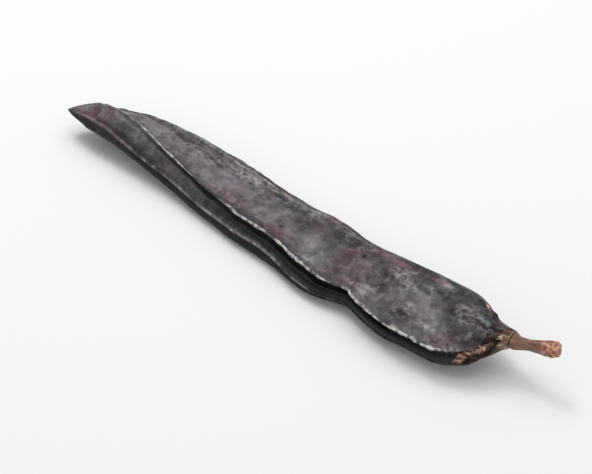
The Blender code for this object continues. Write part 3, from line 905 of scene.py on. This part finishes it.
def curled_flake(tree, given):
    """A thin plate whose ends taper and curl up."""
    size = add(tree, "ShaderNodeCombineXYZ", {
        "X": given["Length"], "Y": given["Width"], "Z": given["Thickness"],
    }).outputs[0]
    plate = add(tree, "GeometryNodeMeshCube", {
        "Size": size, "Vertices X": 6, "Vertices Y": 4, "Vertices Z": 2,
    }).outputs["Mesh"]
    position = add(tree, "GeometryNodeInputPosition").outputs[0]
    place = add(tree, "ShaderNodeSeparateXYZ", {"Vector": position}).outputs
    part_way = math_of(tree, "DIVIDE", place["X"], given["Length"])
    squared = math_of(tree, "POWER", part_way, 2.0)
    lift = math_of(tree, "MULTIPLY", squared, given["Curl"])
    pulled = math_of(tree, "MULTIPLY", math_of(tree, "MULTIPLY", squared, place["Y"]), FLAKE_TAPER)
    offset = add(tree, "ShaderNodeCombineXYZ", {"X": 0.0, "Y": pulled, "Z": lift}).outputs[0]
    return add(tree, "GeometryNodeSetPosition", {"Geometry": plate, "Offset": offset}).outputs[0]


def speckle(tree, place, size, detail):
    """Plain noise whose swells are the given size in metres."""
    return add(tree, "ShaderNodeTexNoise", {
        "Vector": place, "Scale": 1 / size, "Detail": detail,
    }).outputs["Fac"]


def papery_scrap():
    """Dry papery plant tissue: matt tan to rust, mottled at a scale of half a millimetre."""
    material, tree = new_finish("papery_scrap")
    place = add(tree, "ShaderNodeTexCoord").outputs["Object"]
    spots = speckle(tree, place, 0.5 * MM, 3.0)
    rust = blend(tree, "#3e2219", "#dba98c", spots)
    faded = carried(tree, speckle(tree, place, 1.6 * MM, 2.0), 0.42, 0.62)
    tan = blend(tree, rust, "#7d6557", faded)
    surfaced(tree, spots, strength=0.4, depth=0.05 * MM, inputs={
        "Base Color": tan, "Roughness": 0.75,
    })
    return material


flake_tree = scatter_tree(
    "curled_flakes", FLAKE_SEED, papery_scrap(), ("Density", "Length", "Width", "Thickness", "Curl"),
    curled_flake, FLAKE_LEAN,
)
flakes = grow("papery_flakes", bed_of(skin, "crust", CRUSTED), flake_tree, {
    "Density": FLAKES_PER_M2, "Length": FLAKE_LENGTH, "Width": FLAKE_WIDTH,
    "Thickness": FLAKE_THICKNESS, "Curl": FLAKE_CURL,
})
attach(flakes, "root")

# The stalk
# A dry woody stem, wrinkled along its length. Its collar sits against the neck, and its far
# end is the pale knob where it broke from the twig.

STALK_LENGTH = 14.0 * MM
STALK_RADIUS = 2.3 * MM
PLUG_RADIUS = 1.55 * MM
FIT_GAP = 0.3 * MM
STALK_BACK = ((0.0, 0.0), (0.1, 0.0), (0.5, 0.6), (1.0, 1.6))  # millimetres
STALK_RISE = ((0.0, 0.0), (0.1, 0.1), (0.3, 1.1), (0.55, 2.2), (1.0, 3.6))  # millimetres
STALK_GIRTH = (  # in stalk radii
    (0.0, 1.03), (0.08, 1.02), (0.18, 0.86), (0.30, 0.76), (0.42, 0.75), (0.55, 0.83),
    (0.68, 0.94), (0.80, 1.00), (0.92, 1.00), (1.0, 0.88),
)
STALK_RIDGES = 3
STALK_RIDGE_DEPTH = 0.07
BROKEN_RIM = 0.6
BROKEN_RISE = 0.35 * MM
BROKEN_PITH = 0.15 * MM
STALK_STATIONS = 190
STALK_SIDES = 96
WRINKLE_DEPTH = 0.09 * MM
BARK_DEPTH = 0.06 * MM
KNOB_LUMPS = 0.3 * MM
FRILL_RISE = 0.3 * MM
FRILL_AT, FRILL_SPREAD = 0.03, 0.035
KNOB_START, KNOB_BLEND = 0.6, 0.18
# The size of each swell along, across and through the stalk
BARK_SIZE = (1.6 * MM, 1.1 * MM, 1.1 * MM)
LUMP_SIZE = (1.7 * MM, 1.9 * MM, 1.9 * MM)
KNOB_EDGE_SIZE = (9 * MM, 2 * MM, 2 * MM)
WRINKLE_SIZE = (7 * MM, 0.9 * MM, 0.9 * MM)
FRILL_SIZE = (3 * MM, 1.2 * MM, 1.2 * MM)


def make_stalk():
    """The stalk's fine mesh, from the plug in the socket to the broken end."""
    shares = np.linspace(0.0, 1.0, STALK_STATIONS)
    start = neck_centre() + np.array([FIT_GAP, 0.0, 0.0])
    line = start + np.stack([
        shares * STALK_LENGTH,
        along(STALK_BACK, shares) * MM,
        along(STALK_RISE, shares) * MM,
    ], axis=1)
    forward = np.gradient(line, axis=0)
    forward /= np.linalg.norm(forward, axis=1, keepdims=True)
    side = np.cross(forward, np.array([0.0, 0.0, 1.0]))
    side /= np.linalg.norm(side, axis=1, keepdims=True)
    top = np.cross(side, forward)
    angle = np.arange(STALK_SIDES) * 2 * math.pi / STALK_SIDES
    spokes = (
        np.cos(angle)[None, :, None] * side[:, None, :]
        + np.sin(angle)[None, :, None] * top[:, None, :]
    )
    ridges = np.cos(STALK_RIDGES * angle[None, :] + 5 * shares[:, None])
    radius = STALK_RADIUS * along(STALK_GIRTH, shares)[:, None] * (1 + STALK_RIDGE_DEPTH * ridges)
    stem = line[:, None, :] + radius[:, :, None] * spokes
    bark = swells(stem, BARK_SIZE, 5.0)
    lumps = swells(stem, LUMP_SIZE, 14.0)
    knob_start = KNOB_START + 0.07 * swells(stem, KNOB_EDGE_SIZE, 16.0)
    knob = np.clip((shares[:, None] - knob_start) / KNOB_BLEND, 0, 1)
    wrinkles = crests(stem, WRINKLE_SIZE, 3.0) * (1 - 0.85 * knob)
    collar = np.exp(-((shares - FRILL_AT) / FRILL_SPREAD) ** 2)[:, None]
    frill = np.clip(0.4 + swells(stem, FRILL_SIZE, 15.0), 0, 1) * collar
    start_fade = np.clip(shares / 0.02, 0, 1)[:, None]
    fine = (
        BARK_DEPTH * bark * (1 + knob) - WRINKLE_DEPTH * wrinkles
        + KNOB_LUMPS * lumps * knob + FRILL_RISE * frill
    ) * start_fade
    stem = stem + fine[:, :, None] * spokes
    inward = np.array([-SOCKET_DEPTH, 0.0, 0.0])
    plug = start + spokes[0] * PLUG_RADIUS
    crown = line[-1] + (stem[-1] - line[-1]) * BROKEN_RIM + forward[-1] * BROKEN_RISE
    pith = (line[-1] + forward[-1] * BROKEN_PITH)[None, :]
    rings = [(start + inward)[None, :], plug + inward, plug, *stem, crown, pith]
    before, after = 1 + 2 * STALK_SIDES, STALK_SIDES + 1
    marks = {
        "knob": np.concatenate([np.zeros(before), knob.ravel(), np.ones(after)]),
        "painted_crease_shade": np.concatenate([np.zeros(before), wrinkles.ravel(), np.zeros(after)]),
        "broken": np.concatenate([np.zeros(before), np.zeros(knob.size), np.ones(after)]),
    }
    return finished_mesh("woody_stalk", rings, marks)


def dry_woody_stem():
    """A dry stem: reddish brown bark with fine fibres along it, tan and scarred on the knob, with
    painted shade in its creases.
    """
    material, tree = new_finish("dry_woody_stem")
    place = add(tree, "ShaderNodeTexCoord").outputs["Object"]
    knob = mark_of(tree, "knob")
    stretched = add(tree, "ShaderNodeMapping", {"Vector": place, "Scale": (0.2, 1.0, 1.0)}).outputs[0]
    fibre = speckle(tree, stretched, 0.7 * MM, 4.0)
    blotch = speckle(tree, place, 1.3 * MM, 4.0)
    greyed = carried(tree, speckle(tree, stretched, 2.2 * MM, 2.0), 0.45, 0.62, end=0.45)
    bark = blend(tree, blend(tree, "#5a3a31", "#b08674", fibre), "#7d6b4f", greyed)
    scarred = blend(tree, "#6d4029", "#d0987a", carried(tree, blotch, 0.38, 0.6))
    colour = blend(tree, bark, scarred, knob)
    colour = blend(tree, colour, "#bba68c", product(tree, mark_of(tree, "broken"), 0.7))
    # Painted shade: the bark's creases are darkened
    colour = blend(tree, colour, "#3d2622", product(tree, mark_of(tree, "painted_crease_shade"), 0.6))
    grain = add(tree, "ShaderNodeMix", {0: knob, 2: fibre, 3: blotch}).outputs[0]
    surfaced(tree, grain, strength=0.6, depth=0.15 * MM, inputs={
        "Base Color": colour, "Roughness": 0.6,
    })
    return material


stalk = make_stalk()
stem_finish = dry_woody_stem()
stalk.data.materials.append(stem_finish)
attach(stalk, "root")
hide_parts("stalk")

# The splinters on the knob
# Short broken wood fibres stand up round the end where the stalk tore from its twig.

SPLINTER_SEED = 21
SPLINTERS_PER_M2 = 4500000
SPLINTER_LENGTH = 0.7 * MM
SPLINTER_RADIUS = 0.13 * MM
SPLINTER_POINT = 0.02 * MM
SPLINTER_SUNK = -0.25
SPLINTER_LEAN = 0.5
BROKEN = 0.5


def splinter(tree, given):
    """One tapered fibre with its foot sunk in the knob."""
    cone = add(tree, "GeometryNodeMeshCone", {
        "Vertices": 5, "Side Segments": 2, "Radius Top": SPLINTER_POINT,
        "Radius Bottom": given["Radius"], "Depth": given["Length"],
    }).outputs["Mesh"]
    sink = math_of(tree, "MULTIPLY", given["Length"], SPLINTER_SUNK)
    offset = add(tree, "ShaderNodeCombineXYZ", {"Z": sink}).outputs[0]
    return add(tree, "GeometryNodeSetPosition", {"Geometry": cone, "Offset": offset}).outputs[0]


splinter_tree = scatter_tree(
    "broken_splinters", SPLINTER_SEED, stem_finish, ("Density", "Length", "Radius"), splinter,
    SPLINTER_LEAN,
)
splinters = grow("stalk_splinters", bed_of(stalk, "broken", BROKEN), splinter_tree, {
    "Density": SPLINTERS_PER_M2, "Length": SPLINTER_LENGTH, "Radius": SPLINTER_RADIUS,
})
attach(splinters, "root")

# The floor, the light and the view
# A white table under soft studio light. The camera looks down on the pod at 45 degrees, from
# in front of it and to the side of its stalk.

FLOOR_HALF = 3.0
floor_corners = [
    (x * FLOOR_HALF, y * FLOOR_HALF, 0) for x, y in ((-1, -1), (1, -1), (1, 1), (-1, 1))
]
floor_mesh = bpy.data.meshes.new("floor")
floor_mesh.from_pydata(floor_corners, [], [(0, 1, 2, 3)])
floor = new_object("floor", floor_mesh)
paper, paper_tree = new_finish("white_table")
paper_shader = add(paper_tree, "ShaderNodeBsdfPrincipled", {
    "Base Color": linear("#f2f2f2"), "Roughness": 0.9, "Specular IOR Level": 0.2,
})
add(paper_tree, "ShaderNodeOutputMaterial", {"Surface": paper_shader.outputs[0]})
floor_mesh.materials.append(paper)

world = bpy.data.worlds.new("studio")
world.use_nodes = True
world.node_tree.nodes["Background"].inputs["Color"].default_value = (1.0, 1.0, 1.0, 1.0)
world.node_tree.nodes["Background"].inputs["Strength"].default_value = 0.5
bpy.context.scene.world = world
bpy.context.scene.view_settings.view_transform = "Standard"

AIM = Vector((0.0, 0.0, 0.006))


def soft_light(name, azimuth, elevation, distance, size, watts):
    """A square soft light that faces the pod; azimuth 0 is in front, 90 at the stalk's side."""
    light = bpy.data.lights.new(name, "AREA")
    light.size = size
    light.energy = watts
    piece = new_object(name, light)
    side, up = math.radians(azimuth), math.radians(elevation)
    away = Vector((math.sin(side) * math.cos(up), -math.cos(side) * math.cos(up), math.sin(up)))
    piece.location = AIM + away * distance
    piece.rotation_euler = away.to_track_quat("Z", "Y").to_euler()


soft_light("overhead", azimuth=200, elevation=74, distance=0.9, size=0.9, watts=4.2)
soft_light("window", azimuth=-115, elevation=60, distance=0.9, size=0.25, watts=1.8)

CAMERA_AZIMUTH = math.radians(37.6)
CAMERA_ELEVATION = math.radians(45.0)
CAMERA_DISTANCE = 0.60
camera_data = bpy.data.cameras.new("camera")
camera_data.lens = 120
camera_data.sensor_width = 36
camera = new_object("camera", camera_data)
towards_camera = Vector((
    math.sin(CAMERA_AZIMUTH) * math.cos(CAMERA_ELEVATION),
    -math.cos(CAMERA_AZIMUTH) * math.cos(CAMERA_ELEVATION),
    math.sin(CAMERA_ELEVATION),
))
camera.location = AIM + towards_camera * CAMERA_DISTANCE
camera.rotation_euler = towards_camera.to_track_quat("Z", "Y").to_euler()
bpy.context.scene.camera = camera
